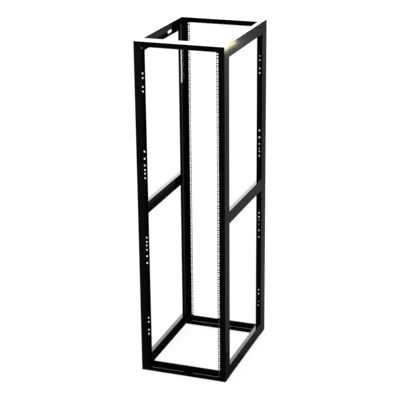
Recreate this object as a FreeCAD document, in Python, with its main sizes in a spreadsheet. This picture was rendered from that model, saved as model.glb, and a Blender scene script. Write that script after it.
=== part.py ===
"""Four post open frame rack for 19 inch equipment, 45 units high.

Four folded sheet posts carry square-hole rails.  A shallow channel lies across the front and the
rear, at the floor and at the top, and three bars a side tie the front posts to the rear ones.

Frame: millimetres, +Z up, +X to the rack's right, +Y to its rear.  The origin is the centre of
the footprint, on the floor.
"""
import FreeCAD, Part
import os
import re

import Sketcher
from FreeCAD import Vector

SIZES = {
    "rack_width": (546, "outside of the left posts to outside of the right posts"),
    "rack_depth": (800, "front face to rear face"),
    "rack_units": (45, "height of the square-hole pattern, in rack units"),
    "unit_height": (44.45, "one rack unit"),
    "end_margin": (34.5, "from the hole pattern to the floor, and to the top"),
    "sheet_thickness": (2, "sheet that every piece is folded from"),
    "bend_radius": (1, "inside radius of a post's folds; outside ones are a sheet larger"),
    "post_depth": (87.5, "post: web, also the depth of the cross channels"),
    "lip_width": (34.6, "post: inner lip, the one with the pairs of holes"),
    "hole_side": (9.5, "square rail hole"),
    "rail_spacing": (465.1, "between the left and right columns of square holes"),
    "hole_margin": (7.05, "rail: middle of a column of holes to the flange's free edge"),
    "first_hole": (6.35, "foot of a rack unit to its lowest hole"),
    "hole_pitch": (15.875, "between the three holes of one rack unit"),
    "lip_hole_side": (8.5, "square hole in a lip"),
    "lip_hole_inset": (17.3, "outside of the rack to the lip holes' line"),
    "pair_spacing": (28, "between the two holes of a pair in a lip"),
    "wide_pair_spacing": (44.45, "between the two holes of a wide pair in a lip"),
    "first_pair_height": (203.2, "middle of the rack to the first pair in a lip"),
    "second_pair_gap": (51.1, "first pair to the second pair"),
    "wide_pair_gap": (77.6, "second pair to the wide pair"),
    "third_pair_gap": (401, "wide pair to the third pair"),
    "fourth_pair_gap": (80.4, "third pair to the fourth pair"),
    "top_channel_height": (31, "top cross channel, over all"),
    "floor_channel_height": (29, "floor cross channel, over all"),
    "bar_height": (75, "side bar, over all"),
    "bar_flange": (26, "side bar: depth of its channel, over all"),
    "bracket_thickness": (3, "bracket inside a side bar's end"),
    "bracket_reach": (75, "bracket: its leg along the side bar"),
    "bracket_foot": (22, "bracket: its leg along the post's lip"),
    "bracket_height": (62, "bracket: over all"),
    "slot_length": (66, "oblong slot in the top left bar"),
    "slot_height": (18, "oblong slot in the top left bar"),
    "slot_position": (171, "middle of the rack back to the slot's centre"),
    "strip_inset": (28, "outside of the rack to the angle strip's back"),
    "strip_depth": (36, "angle strip on the rear left post: its leg that stands out"),
    "strip_foot": (5, "angle strip: its leg on the lip"),
    "strip_top_gap": (39, "angle strip: its upper end to the rack's top"),
}

HEIGHT = "(rack_units * unit_height + 2 * end_margin)"
HALF_WIDTH = "rack_width / 2"
HALF_DEPTH = "rack_depth / 2"
LIP_FACE = "(rack_depth / 2 - post_depth)"
RAIL_EDGE = "(rail_spacing / 2 - hole_margin)"
LIP_EDGE = "(rack_width / 2 - lip_width)"
BAR_EDGE = "(rack_width / 2 - bar_flange)"
PATTERN_FOOT = "(end_margin - sheet_thickness)"
SMALL = 0.01

doc = FreeCAD.newDocument("Rack")
sheet = doc.addObject("Spreadsheet::Sheet", "Sizes")
for row, (alias, (value, note)) in enumerate(SIZES.items(), start=1):
    sheet.set(f"A{row}", alias)
    sheet.set(f"B{row}", str(value))
    sheet.set(f"C{row}", note)
    sheet.setAlias(f"B{row}", alias)
doc.recompute()

nodes = []


# ---------------------------------------------------------------- helpers

def formula(text):
    """Spreadsheet formula from a text of bare size names."""
    return re.sub(r"\b(" + "|".join(SIZES) + r")\b", r"Sizes.\1", text)


def number(text):
    """Present value of a formula."""
    value = sheet.evalExpression(formula(text))
    return float(getattr(value, "Value", value))


def bind(thing, prop, text):
    thing.setExpression(prop, formula(text))


def new_body(label):
    body = doc.addObject("PartDesign::Body", label)
    body.Label = label
    nodes.append(body)
    return body


def new_mirror(label, source, normal):
    """Mirror image of a finished piece in a middle plane of the rack."""
    piece = doc.addObject("Part::Mirroring", label)
    piece.Label = label
    piece.Source = source
    piece.Normal = normal
    nodes.append(piece)
    return piece


def new_sketch(body, name, plane, distance="0"):
    """Sketch on one of the body's own planes, or parallel to it."""
    sketch = body.newObject("Sketcher::SketchObject", name)
    origin_plane = next(part for part in body.Origin.OriginFeatures if part.Role == plane)
    sketch.AttachmentSupport = [(origin_plane, "")]
    sketch.MapMode = "FlatFace"
    if distance != "0":
        bind(sketch, "AttachmentOffset.Base.z", distance)
    return sketch


def fix_coordinate(sketch, kind, vertex, text):
    """Hold one coordinate of a vertex at a formula's value."""
    value = number(text)
    if abs(value) < SMALL:
        axis = -2 if kind == "DistanceX" else -1
        sketch.addConstraint(Sketcher.Constraint("PointOnObject", *vertex, axis))
        return
    ends = (-1, 1, *vertex) if value > 0 else (*vertex, -1, 1)
    index = sketch.addConstraint(Sketcher.Constraint(kind, *ends, abs(value)))
    bind(sketch, f"Constraints[{index}]", text if value > 0 else f"-({text})")


def add_outline(sketch, corners):
    """Closed outline of upright and level lines through corners given as formulas."""
    points = [Vector(number(u), number(v), 0) for u, v in corners]
    count = len(points)
    first = sketch.GeometryCount
    for i in range(count):
        sketch.addGeometry(Part.LineSegment(points[i], points[(i + 1) % count]), False)
    for i in range(count):
        line = first + i
        following = first + (i + 1) % count
        sketch.addConstraint(Sketcher.Constraint("Coincident", line, 2, following, 1))
        upright = corners[i][0] == corners[(i + 1) % count][0]
        sketch.addConstraint(Sketcher.Constraint("Vertical" if upright else "Horizontal", line))
    for kind, place in (("DistanceX", 0), ("DistanceY", 1)):
        held = set()
        for i, corner in enumerate(corners):
            if corner[place] not in held:
                held.add(corner[place])
                fix_coordinate(sketch, kind, (first + i, 1), corner[place])


def add_rectangle(sketch, low, high):
    add_outline(sketch, [low, (high[0], low[1]), high, (low[0], high[1])])


def add_circle(sketch, centre, diameter):
    circle = Part.Circle(Vector(number(centre[0]), number(centre[1]), 0), Vector(0, 0, 1),
                         number(diameter) / 2)
    index = sketch.addGeometry(circle, False)
    fix_coordinate(sketch, "DistanceX", (index, 3), centre[0])
    fix_coordinate(sketch, "DistanceY", (index, 3), centre[1])
    size = sketch.addConstraint(Sketcher.Constraint("Diameter", index, number(diameter)))
    bind(sketch, f"Constraints[{size}]", diameter)


def pad(body, sketch, length, symmetric=False, backwards=False):
    feature = body.newObject("PartDesign::Pad", "Pad")
    feature.Profile = sketch
    if symmetric:
        feature.SideType = "Symmetric"
    feature.Reversed = backwards
    bind(feature, "Length", length)
    doc.recompute()
    return feature


def pocket(body, sketch, length, backwards=False):
    """Cut a sketch into the body, and make sure that it took something away."""
    before = body.Shape.Volume
    feature = body.newObject("PartDesign::Pocket", "Pocket")
    feature.Profile = sketch
    feature.Reversed = backwards
    bind(feature, "Length", length)
    doc.recompute()
    if body.Shape.Volume > before - SMALL:
        raise RuntimeError(f"{sketch.Label} cut nothing from {body.Label}")
    return feature


def repeat_upwards(body, feature, sketch, length, count):
    pattern = body.newObject("PartDesign::LinearPattern", "Pattern")
    pattern.Originals = [feature]
    pattern.Direction = (sketch, ["V_Axis"])
    bind(pattern, "Length", length)
    bind(pattern, "Occurrences", count)
    body.Tip = pattern
    doc.recompute()
    return pattern


def round_folds(body, direction, places, radius):
    """Round the body's edges that run along a direction through the given places."""
    base = body.Tip
    across = [i for i in range(3) if i != direction]
    wanted = [tuple(number(text) for text in place) for place in places]
    names = []
    for index, edge in enumerate(base.Shape.Edges, start=1):
        ends = [vertex.Point for vertex in edge.Vertexes]
        if len(ends) < 2 or abs((ends[1] - ends[0])[direction]) < SMALL:
            continue
        for place in wanted:
            if all(abs(end[axis] - at) < SMALL for end in ends for axis, at in zip(across, place)):
                names.append(f"Edge{index}")
    fillet = body.newObject("PartDesign::Fillet", "Fold")
    fillet.Base = (base, names)
    bind(fillet, "Radius", radius)
    body.Tip = fillet
    doc.recompute()
    return fillet


# ---------------------------------------------------------------- posts

def make_post(label):
    """Front left post: outer flange with the rail's holes, web, and inner lip with pairs of holes."""
    body = new_body(label)
    bind(body, "Placement.Base.z", "sheet_thickness")
    outside = f"-({HALF_WIDTH})"
    web_inside = f"-({HALF_WIDTH} - sheet_thickness)"
    front = f"-({HALF_DEPTH})"
    flange_inside = f"-({HALF_DEPTH} - sheet_thickness)"
    lip_inside = f"-({LIP_FACE} + sheet_thickness)"
    lip_outside = f"-{LIP_FACE}"
    section = new_sketch(body, "PostSection", "XY_Plane")
    add_outline(section, [
        (outside, front), (f"-{RAIL_EDGE}", front), (f"-{RAIL_EDGE}", flange_inside),
        (web_inside, flange_inside), (web_inside, lip_inside), (f"-{LIP_EDGE}", lip_inside),
        (f"-{LIP_EDGE}", lip_outside), (outside, lip_outside)])
    pad(body, section, f"{HEIGHT} - 2 * sheet_thickness")
    round_folds(body, 2, [(outside, front), (outside, lip_outside)], "bend_radius + sheet_thickness")
    round_folds(body, 2, [(web_inside, flange_inside), (web_inside, lip_inside)], "bend_radius")

    unit = new_sketch(body, "RackUnitHoles", "XZ_Plane", HALF_DEPTH)
    left = "-(rail_spacing / 2 + hole_side / 2)"
    right = "-(rail_spacing / 2 - hole_side / 2)"
    for step in range(3):
        middle = f"{PATTERN_FOOT} + first_hole + {step} * hole_pitch"
        add_rectangle(unit, (left, f"{middle} - hole_side / 2"), (right, f"{middle} + hole_side / 2"))
    holes = pocket(body, unit, "2 * sheet_thickness")
    repeat_upwards(body, holes, unit, "(rack_units - 1) * unit_height", "rack_units")

    line = f"-({HALF_WIDTH} - lip_hole_inset)"
    lip_holes = new_sketch(body, "LipHoles", "XZ_Plane", f"{LIP_FACE} + sheet_thickness")
    pairs = [("first_pair_height", "pair_spacing", "lip_hole_side"),
             ("second_pair_gap", "pair_spacing", "lip_hole_side"),
             ("wide_pair_gap", "wide_pair_spacing", "hole_side"),
             ("third_pair_gap", "pair_spacing", "lip_hole_side"),
             ("fourth_pair_gap", "pair_spacing", "lip_hole_side")]
    steps = []
    for step, spacing, side in pairs:
        steps.append(step)
        height = "(" + " + ".join(steps) + ")"
        for half in "+-":
            for end in "+-":
                level = f"{HEIGHT} / 2 - sheet_thickness {half} {height} {end} {spacing} / 2"
                add_rectangle(lip_holes, (f"{line} - {side} / 2", f"{level} - {side} / 2"),
                              (f"{line} + {side} / 2", f"{level} + {side} / 2"))
    pocket(body, lip_holes, "2 * sheet_thickness")
    return body


# ---------------------------------------------------------------- cross channels

def make_cross_channel(label, top):
    """Front channel: a plate across the rack, with a flange between rails and one between lips.

    The flanges end at the posts, and the plate runs on over or under them.
    """
    body = new_body(label)
    height = "top_channel_height" if top else "floor_channel_height"
    face, side = (HEIGHT, "-") if top else ("0", "+")
    sheet_inside = f"{face} {side} sheet_thickness"
    rim = f"{face} {side} {height}"
    front = f"-({HALF_DEPTH})"
    front_inside = f"-({HALF_DEPTH} - sheet_thickness)"
    back_inside = f"-({LIP_FACE} + sheet_thickness)"
    back = f"-{LIP_FACE}"
    section = new_sketch(body, "ChannelSection", "YZ_Plane")
    add_outline(section, [
        (front, face), (back, face), (back, rim), (back_inside, rim),
        (back_inside, sheet_inside), (front_inside, sheet_inside), (front_inside, rim), (front, rim)])
    pad(body, section, "rack_width", symmetric=True)
    round_folds(body, 0, [(front, face), (back, face)], "bend_radius + sheet_thickness")

    for name, plane_at, edge, backwards in (("RailFlangeEnds", HALF_DEPTH, RAIL_EDGE, False),
                                            ("LipFlangeEnds", LIP_FACE, LIP_EDGE, True)):
        ends = new_sketch(body, name, "XZ_Plane", plane_at)
        add_rectangle(ends, (f"-({HALF_WIDTH})", sheet_inside), (f"-{edge}", rim))
        add_rectangle(ends, (edge, sheet_inside), (HALF_WIDTH, rim))
        pocket(body, ends, "sheet_thickness + bend_radius", backwards=backwards)
    return body


# ---------------------------------------------------------------- side bars and their brackets

LEVELS = {
    "bottom": "0",
    "middle": f"{HEIGHT} / 2 - bar_height / 2",
    "top": f"{HEIGHT} - bar_height",
}


def make_side_bar(label, sign, level):
    """Channel between two posts' lips, its web flush with the posts and its mouth inwards."""
    body = new_body(label)
    foot = LEVELS[level]
    outside = f"{sign}({HALF_WIDTH})"
    web_inside = f"{sign}({HALF_WIDTH} - sheet_thickness)"
    mouth = f"{sign}{BAR_EDGE}"
    low_inside = f"{foot} + sheet_thickness"
    high_inside = f"{foot} + bar_height - sheet_thickness"
    head = f"{foot} + bar_height"
    section = new_sketch(body, "BarSection", "XZ_Plane")
    add_outline(section, [
        (outside, foot), (mouth, foot), (mouth, low_inside), (web_inside, low_inside),
        (web_inside, high_inside), (mouth, high_inside), (mouth, head), (outside, head)])
    pad(body, section, f"2 * {LIP_FACE}", symmetric=True)
    round_folds(body, 1, [(outside, foot), (outside, head)], "bend_radius + sheet_thickness")
    return body


def cut_slot(body):
    """Oblong slot low in the web of the top left bar, with round ends."""
    sketch = new_sketch(body, "Slot", "YZ_Plane", f"-({HALF_WIDTH})")
    level = f"{HEIGHT} - bar_height + sheet_thickness + bend_radius + slot_height / 2"
    near = "slot_position - slot_length / 2 + slot_height / 2"
    far = "slot_position + slot_length / 2 - slot_height / 2"
    add_rectangle(sketch, (near, f"{level} - slot_height / 2"), (far, f"{level} + slot_height / 2"))
    pocket(body, sketch, "2 * sheet_thickness", backwards=True)
    for centre in (near, far):
        end = new_sketch(body, "SlotEnd", "YZ_Plane", f"-({HALF_WIDTH})")
        add_circle(end, (centre, level), "slot_height")
        pocket(body, end, "2 * sheet_thickness", backwards=True)


def make_bracket(label, x_sign, y_sign, level):
    """Angle bracket in a bar's end: one leg on the bar's web, the other on the post's lip."""
    body = new_body(label)
    bind(body, "Placement.Base.z", f"{LEVELS[level]} + bar_height / 2 - bracket_height / 2")
    web = f"{x_sign}({HALF_WIDTH} - sheet_thickness)"
    web_leg = f"{x_sign}({HALF_WIDTH} - sheet_thickness - bracket_thickness)"
    foot_end = f"{x_sign}({HALF_WIDTH} - sheet_thickness - bracket_foot)"
    lip = f"{y_sign}{LIP_FACE}"
    foot_leg = f"{y_sign}({LIP_FACE} - bracket_thickness)"
    leg_end = f"{y_sign}({LIP_FACE} - bracket_reach)"
    section = new_sketch(body, "BracketSection", "XY_Plane")
    add_outline(section, [
        (web, lip), (web, leg_end), (web_leg, leg_end),
        (web_leg, foot_leg), (foot_end, foot_leg), (foot_end, lip)])
    pad(body, section, "bracket_height")
    return body


def make_angle_strip(label):
    """Upright angle on the rear left post's lip, from the bottom bar to just under the top."""
    body = new_body(label)
    bind(body, "Placement.Base.z", "bar_height")
    back = f"-({HALF_WIDTH} - strip_inset)"
    face = f"-({HALF_WIDTH} - strip_inset - sheet_thickness)"
    foot_end = f"-({HALF_WIDTH} - strip_inset - strip_foot)"
    tip = f"{LIP_FACE} - strip_depth"
    foot_face = f"{LIP_FACE} - sheet_thickness"
    section = new_sketch(body, "StripSection", "XY_Plane")
    add_outline(section, [
        (back, LIP_FACE), (back, tip), (face, tip),
        (face, foot_face), (foot_end, foot_face), (foot_end, LIP_FACE)])
    pad(body, section, f"{HEIGHT} - strip_top_gap - bar_height")
    return body


# ---------------------------------------------------------------- assembly

SIDEWAYS = Vector(1, 0, 0)
FORE_AND_AFT = Vector(0, 1, 0)

front_left_post = make_post("front_left_post")
front_right_post = new_mirror("front_right_post", front_left_post, SIDEWAYS)
new_mirror("rear_left_post", front_left_post, FORE_AND_AFT)
new_mirror("rear_right_post", front_right_post, FORE_AND_AFT)

for place, is_top in (("bottom", False), ("top", True)):
    front_channel = make_cross_channel(f"front_{place}_channel", is_top)
    new_mirror(f"rear_{place}_channel", front_channel, FORE_AND_AFT)

for side_name, x_sign in (("left", "-"), ("right", "")):
    for level_name in LEVELS:
        bar = make_side_bar(f"{side_name}_{level_name}_bar", x_sign, level_name)
        if (side_name, level_name) == ("left", "top"):
            cut_slot(bar)
        for end_name, y_sign in (("front", "-"), ("rear", "")):
            make_bracket(f"{side_name}_{level_name}_{end_name}_bracket", x_sign, y_sign, level_name)

make_angle_strip("rear_left_angle_strip")
doc.recompute()

for item in doc.Objects:
    if "Invalid" in item.State or "Error" in item.State:
        raise RuntimeError(f"{item.Label} did not build: {item.State}")
for piece in nodes:
    if piece.Shape.isNull() or not piece.Shape.isValid():
        raise RuntimeError(f"{piece.Label} has no valid shape")

os.makedirs("parts", exist_ok=True)
for piece in nodes:
    piece.Shape.exportStep(os.path.join("parts", piece.Label + ".step"))
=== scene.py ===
import math

import bmesh
import bpy
from mathutils import Matrix, Quaternion, Vector


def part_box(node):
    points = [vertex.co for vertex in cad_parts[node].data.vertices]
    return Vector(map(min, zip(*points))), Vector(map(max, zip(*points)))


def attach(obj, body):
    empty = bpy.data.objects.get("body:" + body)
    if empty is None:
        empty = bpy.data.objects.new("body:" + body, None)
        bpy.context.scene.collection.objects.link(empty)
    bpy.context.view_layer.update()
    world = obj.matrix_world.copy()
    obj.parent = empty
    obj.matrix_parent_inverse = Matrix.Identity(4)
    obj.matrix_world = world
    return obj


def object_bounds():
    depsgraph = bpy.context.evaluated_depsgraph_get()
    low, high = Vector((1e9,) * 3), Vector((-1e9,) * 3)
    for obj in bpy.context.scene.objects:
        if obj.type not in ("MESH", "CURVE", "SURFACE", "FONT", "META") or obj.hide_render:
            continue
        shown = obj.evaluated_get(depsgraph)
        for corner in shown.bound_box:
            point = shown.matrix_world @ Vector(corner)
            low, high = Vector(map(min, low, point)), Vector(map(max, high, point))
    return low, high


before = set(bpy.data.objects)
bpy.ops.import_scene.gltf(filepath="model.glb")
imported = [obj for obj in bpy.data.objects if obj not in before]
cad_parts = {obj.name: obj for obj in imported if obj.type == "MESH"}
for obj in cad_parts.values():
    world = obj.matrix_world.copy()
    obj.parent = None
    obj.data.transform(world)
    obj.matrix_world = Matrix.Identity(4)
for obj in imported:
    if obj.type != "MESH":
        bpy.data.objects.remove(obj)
cad_low, cad_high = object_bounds()

# ---------------------------------------------------------------- sizes, metres

SHEET_THICKNESS = 0.002
BRACKET_THICKNESS = 0.003
BRACKET_BOLT_REACH = 0.050
BRACKET_BOLT_RISE = 0.015
BOLT_RADIUS = 0.0055
BOLT_HEIGHT = 0.0035
TOP_SCREW_INSET = 0.0165
TOP_SCREW_DROP = 0.0593
TOP_SCREW_RADIUS = 0.0055
TOP_SCREW_HEIGHT = 0.0025
HEAD_SIDES = 20
CROWN_SHARE = 0.8
RECESS_SHARE = 0.4

LEVELS = ("bottom", "middle", "top")
SIDES = {"left": -1, "right": 1}
ENDS = {"front": -1, "rear": 1}

# ---------------------------------------------------------------- finishes

# Each pair gives the two ends that a finish wanders between.
PAINT_SHADES = (0.0024, 0.0036)
# A darker copy of the black paint with weaker reflections: painted shade for the top channels
# and the left top bar.
PAINTED_SHADE_COPY_SHADES = (0.0004, 0.0008)
STEEL_SHADES = (0.02, 0.05)
ZINC_SHADES = (0.86, 0.94)
COOL_TINGE = 1.04

PAINT_IOR = 1.14
# Weaker reflections of that darker copy, also painted shade.
PAINTED_SHADE_COPY_IOR = 1.11
STEEL_METALLIC = 0.6
ZINC_METALLIC = 0

PAINT_ROUGHNESS = (0.03, 0.07)
SMOOTH_PAINT_ROUGHNESS = (0.015, 0.03)
METAL_ROUGHNESS = (0.25, 0.4)
PAINT_PEEL = 0.03
SMOOTH_PAINT_PEEL = 0.01
PEEL_DEPTH = 0.0004

# Each grain is a noise pattern's scale and detail.
PAINT_SHADE_GRAIN = (9, 3)
PAINT_GLOSS_GRAIN = (24, 4)
PAINT_PEEL_GRAIN = (420, 2)
METAL_SHADE_GRAIN = (300, 3)
METAL_GLOSS_GRAIN = (700, 2)

# Pieces that take the darker copy of the paint, as painted shade.
PAINTED_SHADE_PIECES = ("front_top_channel", "rear_top_channel", "left_top_bar")
SMOOTH_PIECE = "rear_left_angle_strip"

# ---------------------------------------------------------------- studio

FLOOR_HALF_SIZE = 60
FLOOR_DROP = 0.0005
FLOOR_CLOTH = 0.8
FLOOR_CLOTH_ROUGHNESS = 0.9
FLOOR_OWN_GLOW = 0.88
FLOOR_SHADOWED_SHARE = 0.25
WORLD_LIGHT = 0.6

# Brightness of the mirrored floor at each distance from the rack's middle: painted shade,
# darkest near the rack and brightest about 9 m out, seen only in reflections.
FLOOR_REACH = 12.0
FLOOR_PAINTED_REFLECTION = ((0.2, 0.12), (0.5, 0.22), (1.1, 0.36), (3.8, 0.36), (5.4, 0.40), (7.9, 0.60),
              (9.0, 0.75), (10.0, 0.55))
# Painted shade: the mirrored floor is dimmed to half where the slope of x to y is under the
# first of these.
FLOOR_SLOPES = (0.33, 0.37)
FLOOR_PAINTED_SHADE_SHARE = 0.5

WARM_WHITE = (1, 0.92, 0.6)

CAMERA_PLACE = (2.572, -7.1214, 3.698)
CAMERA_HEADING = math.radians(20.036)
CAMERA_TILT = math.radians(19.553)
CAMERA_ROLL = math.radians(-0.597)
CAMERA_LENS = 117.8
CAMERA_SENSOR = 36
CAMERA_CLIP_END = 200


# ---------------------------------------------------------------- materials

def grey(shade):
    return (shade, shade, shade, 1)


def new_material(name):
    material = bpy.data.materials.new(name)
    material.use_nodes = True
    tree = material.node_tree
    shader = tree.nodes["Principled BSDF"]
    place = tree.nodes.new("ShaderNodeTexCoord").outputs["Object"]
    return material, tree, shader, place


def add_noise(tree, place, grain):
    scale, detail = grain
    noise = tree.nodes.new("ShaderNodeTexNoise")
    noise.inputs["Scale"].default_value = scale
    noise.inputs["Detail"].default_value = detail
    tree.links.new(place, noise.inputs["Vector"])
    return noise.outputs["Fac"]


def add_range(tree, value, ends):
    low, high = ends
    spread = tree.nodes.new("ShaderNodeMapRange")
    spread.inputs["To Min"].default_value = low
    spread.inputs["To Max"].default_value = high
    tree.links.new(value, spread.inputs["Value"])
    return spread.outputs["Result"]


def add_shades(tree, place, grain, dark, light):
    """Colour that wanders between a dark and a light shade."""
    shade = tree.nodes.new("ShaderNodeMix")
    shade.data_type = "RGBA"
    shade.inputs["A"].default_value = dark
    shade.inputs["B"].default_value = light
    tree.links.new(add_noise(tree, place, grain), shade.inputs["Factor"])
    return shade.outputs["Result"]


def black_gloss_paint(name, shades, ior, roughness, peel):
    """Smooth black coat: faint orange peel, and a little unevenness in its gloss."""
    material, tree, shader, place = new_material(name)
    dark, light = shades
    shader.inputs["IOR"].default_value = ior
    colour = add_shades(tree, place, PAINT_SHADE_GRAIN, grey(dark), grey(light))
    tree.links.new(colour, shader.inputs["Base Color"])
    gloss = add_range(tree, add_noise(tree, place, PAINT_GLOSS_GRAIN), roughness)
    tree.links.new(gloss, shader.inputs["Roughness"])
    bump = tree.nodes.new("ShaderNodeBump")
    bump.inputs["Strength"].default_value = peel
    bump.inputs["Distance"].default_value = PEEL_DEPTH
    tree.links.new(add_noise(tree, place, PAINT_PEEL_GRAIN), bump.inputs["Height"])
    tree.links.new(bump.outputs["Normal"], shader.inputs["Normal"])
    return material


def screw_metal(name, shades, metallic):
    """Screw metal, slightly cool, with a fine mottle and uneven gloss."""
    material, tree, shader, place = new_material(name)
    dark, light = shades
    shader.inputs["Metallic"].default_value = metallic
    colour = add_shades(tree, place, METAL_SHADE_GRAIN, (dark, dark, dark * COOL_TINGE, 1),
                        (light, light, light * COOL_TINGE, 1))
    tree.links.new(colour, shader.inputs["Base Color"])
    gloss = add_range(tree, add_noise(tree, place, METAL_GLOSS_GRAIN), METAL_ROUGHNESS)
    tree.links.new(gloss, shader.inputs["Roughness"])
    return material


gloss_paint = black_gloss_paint("black_gloss_paint", PAINT_SHADES, PAINT_IOR, PAINT_ROUGHNESS,
                                PAINT_PEEL)
# Darker, less reflective copy of the same paint: painted shade.
painted_shade_copy = black_gloss_paint("painted_shade_black_gloss_paint", PAINTED_SHADE_COPY_SHADES, PAINTED_SHADE_COPY_IOR,
                               PAINT_ROUGHNESS, PAINT_PEEL)
smooth_paint = black_gloss_paint("smooth_black_gloss_paint", PAINT_SHADES, PAINT_IOR,
                                 SMOOTH_PAINT_ROUGHNESS, SMOOTH_PAINT_PEEL)
bolt_steel = screw_metal("dark_bolt_steel", STEEL_SHADES, STEEL_METALLIC)
screw_zinc = screw_metal("pale_screw_zinc", ZINC_SHADES, ZINC_METALLIC)

for name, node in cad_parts.items():
    paint = gloss_paint
    if name in PAINTED_SHADE_PIECES:
        paint = painted_shade_copy
    elif name == SMOOTH_PIECE:
        paint = smooth_paint
    for slot in node.material_slots:
        slot.link = "OBJECT"
        slot.material = paint


# ---------------------------------------------------------------- bolts and screws

def add_head(mesh, centre, facing, radius, height):
    """Tapered head with a round recess, standing on a surface that faces a given way."""
    turn = Vector((0, 0, 1)).rotation_difference(facing).to_matrix().to_4x4()
    place = Matrix.Translation(centre) @ turn @ Matrix.Translation((0, 0, height / 2))
    made = bmesh.ops.create_cone(mesh, cap_ends=True, segments=HEAD_SIDES, radius1=radius,
                                 radius2=radius * CROWN_SHARE, depth=height, matrix=place)
    crown = max((face for vertex in made["verts"] for face in vertex.link_faces),
                key=lambda face: face.calc_center_median().dot(facing))
    bmesh.ops.inset_region(mesh, faces=[crown], thickness=radius * RECESS_SHARE)
    bmesh.ops.translate(mesh, verts=crown.verts, vec=facing * -height * RECESS_SHARE)


def make_heads(name, places, radius, height, metal):
    mesh = bmesh.new()
    for centre, facing in places:
        add_head(mesh, Vector(centre), Vector(facing), radius, height)
    data = bpy.data.meshes.new(name)
    mesh.to_mesh(data)
    mesh.free()
    piece = bpy.data.objects.new(name, data)
    bpy.context.scene.collection.objects.link(piece)
    data.materials.append(metal)
    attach(piece, "root")


def make_bar_bolts(side_name, level):
    """Two bolt heads in the bracket at each end of a side bar."""
    side = SIDES[side_name]
    heads = []
    for end_name, end in ENDS.items():
        low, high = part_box(f"{side_name}_{level}_{end_name}_bracket")
        middle = (low[2] + high[2]) / 2
        web_face = (low[0] if side < 0 else high[0]) - side * BRACKET_THICKNESS
        lip_face = high[1] if end > 0 else low[1]
        reach = lip_face - end * BRACKET_BOLT_REACH
        for rise in (-BRACKET_BOLT_RISE, BRACKET_BOLT_RISE):
            heads.append(((web_face, reach, middle + rise), (-side, 0, 0)))
    make_heads(f"{side_name}_{level}_bar_bolts", heads, BOLT_RADIUS, BOLT_HEIGHT, bolt_steel)


def make_top_screw(end_name, side_name):
    """One screw in a post's lip, inside the post's fold and just under the top channel."""
    end, side = ENDS[end_name], SIDES[side_name]
    low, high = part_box(f"{end_name}_{side_name}_post")
    lip_face = low[1] + SHEET_THICKNESS if end > 0 else high[1] - SHEET_THICKNESS
    outside = high[0] if side > 0 else low[0]
    head = (outside - side * TOP_SCREW_INSET, lip_face, cad_high[2] - TOP_SCREW_DROP)
    make_heads(f"{end_name}_{side_name}_top_screw", [(head, (0, end, 0))], TOP_SCREW_RADIUS,
               TOP_SCREW_HEIGHT, screw_zinc)


for side_name in SIDES:
    for level in LEVELS:
        make_bar_bolts(side_name, level)

for end_name in ENDS:
    for side_name in SIDES:
        make_top_screw(end_name, side_name)


# ---------------------------------------------------------------- floor and world

def add_glow(tree, kind, strength):
    glow = tree.nodes.new(kind)
    glow.inputs["Color"].default_value = grey(1)
    glow.inputs["Strength"].default_value = strength
    return glow


def add_maths(tree, operation, first, second):
    step = tree.nodes.new("ShaderNodeMath")
    step.operation = operation
    tree.links.new(first, step.inputs[0])
    tree.links.new(second, step.inputs[1])
    return step.outputs["Value"]


def add_view_switch(tree, lit, shown, mirrored):
    """Join what a surface looks like when lit, when seen, and when mirrored in gloss."""
    rays = tree.nodes.new("ShaderNodeLightPath").outputs
    gloss = add_maths(tree, "MAXIMUM", rays["Is Glossy Ray"], rays["Is Transmission Ray"])
    result = lit
    for chosen, ray in ((mirrored, gloss), (shown, rays["Is Camera Ray"])):
        mix = tree.nodes.new("ShaderNodeMixShader")
        tree.links.new(ray, mix.inputs["Fac"])
        tree.links.new(result, mix.inputs[1])
        tree.links.new(chosen, mix.inputs[2])
        result = mix.outputs["Shader"]
    return result


def add_floor_distance(tree, place):
    """How far a point of the floor is from the rack's middle, as a share of its reach."""
    away = tree.nodes.new("ShaderNodeVectorMath")
    away.operation = "LENGTH"
    tree.links.new(place, away.inputs[0])
    share = tree.nodes.new("ShaderNodeMath")
    share.operation = "DIVIDE"
    share.inputs[1].default_value = FLOOR_REACH
    tree.links.new(away.outputs["Value"], share.inputs[0])
    return share.outputs["Value"]


def add_floor_painted_reflection(tree):
    """Floor as the gloss mirrors it, with painted shade by distance and side: fullest to the
    rear right and front left.
    """
    place = tree.nodes.new("ShaderNodeTexCoord").outputs["Object"]
    ramp = tree.nodes.new("ShaderNodeValToRGB")
    stops = ramp.color_ramp.elements
    stops.remove(stops[-1])
    for distance, glow in FLOOR_PAINTED_REFLECTION:
        stops.new(distance / FLOOR_REACH).color = grey(glow)
    stops.remove(stops[0])
    tree.links.new(add_floor_distance(tree, place), ramp.inputs["Fac"])

    parts = tree.nodes.new("ShaderNodeSeparateXYZ")
    tree.links.new(place, parts.inputs["Vector"])
    slope = add_maths(tree, "DIVIDE", parts.outputs["X"], parts.outputs["Y"])
    side = tree.nodes.new("ShaderNodeMapRange")
    side.inputs["From Min"].default_value = FLOOR_SLOPES[0]
    side.inputs["From Max"].default_value = FLOOR_SLOPES[1]
    side.inputs["To Min"].default_value = FLOOR_PAINTED_SHADE_SHARE
    side.inputs["To Max"].default_value = 1
    tree.links.new(slope, side.inputs["Value"])
    return add_maths(tree, "MULTIPLY", ramp.outputs["Color"], side.outputs["Result"])


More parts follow.
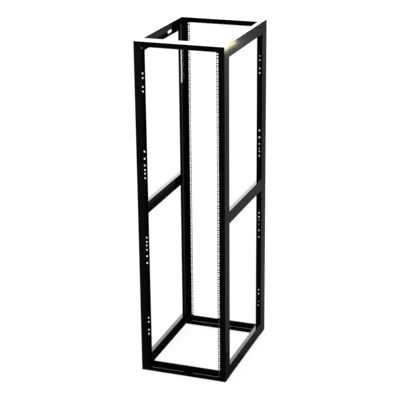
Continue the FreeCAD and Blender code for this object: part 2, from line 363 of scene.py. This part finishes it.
def make_floor():
    """Pale floor that keeps a faint shadow under the rack."""
    mesh = bmesh.new()
    bmesh.ops.create_grid(mesh, x_segments=1, y_segments=1, size=FLOOR_HALF_SIZE)
    data = bpy.data.meshes.new("studio_floor")
    mesh.to_mesh(data)
    mesh.free()
    floor = bpy.data.objects.new("studio_floor", data)
    bpy.context.scene.collection.objects.link(floor)
    floor.location.z = -FLOOR_DROP
    material = bpy.data.materials.new("pale_floor")
    material.use_nodes = True
    tree = material.node_tree
    cloth = tree.nodes["Principled BSDF"]
    cloth.inputs["Base Color"].default_value = grey(FLOOR_CLOTH)
    cloth.inputs["Roughness"].default_value = FLOOR_CLOTH_ROUGHNESS

    shadowed = tree.nodes.new("ShaderNodeBsdfDiffuse")
    shadowed.inputs["Color"].default_value = grey(FLOOR_SHADOWED_SHARE)
    own_glow = add_glow(tree, "ShaderNodeEmission", FLOOR_OWN_GLOW)
    shown = tree.nodes.new("ShaderNodeAddShader")
    tree.links.new(own_glow.outputs["Emission"], shown.inputs[0])
    tree.links.new(shadowed.outputs["BSDF"], shown.inputs[1])

    # Painted reflection: what the gloss sees of the floor, darker near the rack.
    mirrored = add_glow(tree, "ShaderNodeEmission", 1)
    tree.links.new(add_floor_painted_reflection(tree), mirrored.inputs["Strength"])

    joined = add_view_switch(tree, cloth.outputs["BSDF"], shown.outputs["Shader"],
                             mirrored.outputs["Emission"])
    tree.links.new(joined, tree.nodes["Material Output"].inputs["Surface"])
    data.materials.append(material)


def make_world():
    """White surroundings that light the rack at a plain level."""
    world = bpy.data.worlds.new("studio")
    bpy.context.scene.world = world
    world.use_nodes = True
    tree = world.node_tree
    lit = tree.nodes["Background"]
    lit.inputs["Color"].default_value = grey(1)
    lit.inputs["Strength"].default_value = WORLD_LIGHT
    white = add_glow(tree, "ShaderNodeBackground", 1).outputs["Background"]
    joined = add_view_switch(tree, lit.outputs["Background"], white, white)
    tree.links.new(joined, tree.nodes["World Output"].inputs["Surface"])


# ---------------------------------------------------------------- lamps

def add_soft_box(name, centre, target, width, height, radiance, turn=0, tint=(1, 1, 1)):
    """Rectangular lamp aimed at a point, as bright as radiance all over its face."""
    lamp = bpy.data.lights.new(name, "AREA")
    lamp.shape = "RECTANGLE"
    lamp.size = width
    lamp.size_y = height
    lamp.energy = radiance * math.pi * width * height
    lamp.color = tint
    holder = bpy.data.objects.new(name, lamp)
    bpy.context.scene.collection.objects.link(holder)
    holder.location = centre
    aim = (Vector(target) - Vector(centre)).to_track_quat("-Z", "Y")
    holder.rotation_euler = (aim @ Quaternion((0, 0, 1), math.radians(turn))).to_euler()
    holder.visible_camera = False


def add_flag(name, centre, width, height):
    """Small black card that keeps the back lamp from glaring through the slot."""
    mesh = bmesh.new()
    upright = Matrix.Translation(centre) @ Matrix.Rotation(math.radians(90), 4, "X")
    bmesh.ops.create_grid(mesh, x_segments=1, y_segments=1, size=0.5,
                          matrix=upright @ Matrix.Diagonal((width, height, 1, 1)))
    data = bpy.data.meshes.new(name)
    mesh.to_mesh(data)
    mesh.free()
    flag = bpy.data.objects.new(name, data)
    bpy.context.scene.collection.objects.link(flag)
    material = bpy.data.materials.new("black_card")
    material.use_nodes = True
    card = material.node_tree.nodes["Principled BSDF"]
    card.inputs["Base Color"].default_value = grey(0)
    card.inputs["Roughness"].default_value = 1
    data.materials.append(material)
    flag.visible_camera = False
    flag.visible_shadow = False


make_floor()
make_world()
add_soft_box("back_softbox", centre=(-2.1, 5.7, 3.1), target=(0, 0, 1.0), width=2.4,
             height=1.6, radiance=8)
add_soft_box("strip_card", centre=(1.166, 4.0, 0.80), target=(-0.246, 0.3, 1.75), width=0.012,
             height=0.31, radiance=14)
add_soft_box("corner_card", centre=(1.792, 4.0, 1.02), target=(0.273, -0.35, 2.06), width=0.21,
             height=0.085, radiance=21, turn=34, tint=WARM_WHITE)
add_flag("slot_flag", centre=(-0.397, 0.489, 2.083), width=0.11, height=0.055)


# ---------------------------------------------------------------- camera

def make_camera():
    ahead = Vector((-math.sin(CAMERA_HEADING) * math.cos(CAMERA_TILT),
                    math.cos(CAMERA_HEADING) * math.cos(CAMERA_TILT), -math.sin(CAMERA_TILT)))
    across = ahead.cross(Vector((0, 0, 1))).normalized()
    upward = across.cross(ahead)
    right = across * math.cos(CAMERA_ROLL) + upward * math.sin(CAMERA_ROLL)
    above = upward * math.cos(CAMERA_ROLL) - across * math.sin(CAMERA_ROLL)
    data = bpy.data.cameras.new("camera")
    data.lens = CAMERA_LENS
    data.sensor_width = CAMERA_SENSOR
    data.clip_end = CAMERA_CLIP_END
    camera = bpy.data.objects.new("camera", data)
    bpy.context.scene.collection.objects.link(camera)
    facing = Matrix((right, above, -ahead)).transposed().to_4x4()
    camera.matrix_world = Matrix.Translation(CAMERA_PLACE) @ facing
    bpy.context.scene.camera = camera


make_camera()
bpy.context.scene.view_settings.view_transform = "Standard"
